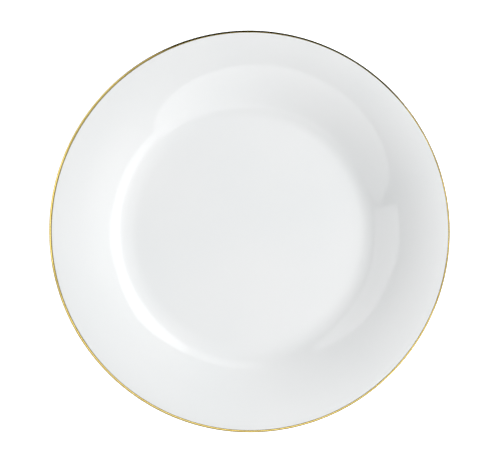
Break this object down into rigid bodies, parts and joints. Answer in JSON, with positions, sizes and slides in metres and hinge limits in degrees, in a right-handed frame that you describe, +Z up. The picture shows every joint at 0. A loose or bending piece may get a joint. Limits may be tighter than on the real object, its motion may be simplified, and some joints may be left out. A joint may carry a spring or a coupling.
{
  "type": "dinner plate",
  "caption": "Round porcelain dinner plate with a flat well, a broad gently sloping rim, a foot ring underneath and a thin gold line round the lip.",
  "frame": {"origin": "centre of the plane the foot ring's bearing land lies in, which is the plate's lowest plane", "axes": "+Z up along the axis of revolution, out of the glazed face; X and Y are any two directions across the plate, which is round"},
  "size_m": [0.27, 0.27, 0.0219],
  "materials": {
    "fired_clay": "matte",
    "clear_glaze": "gloss",
    "gold": "gloss"
  },
  "bodies": {
    "root": {"porcelain_body": "fired_clay", "main_glaze": "clear_glaze", "foot_recess_glaze": "clear_glaze", "gold_rim_line": "gold"}
  },
  "joints": []
}
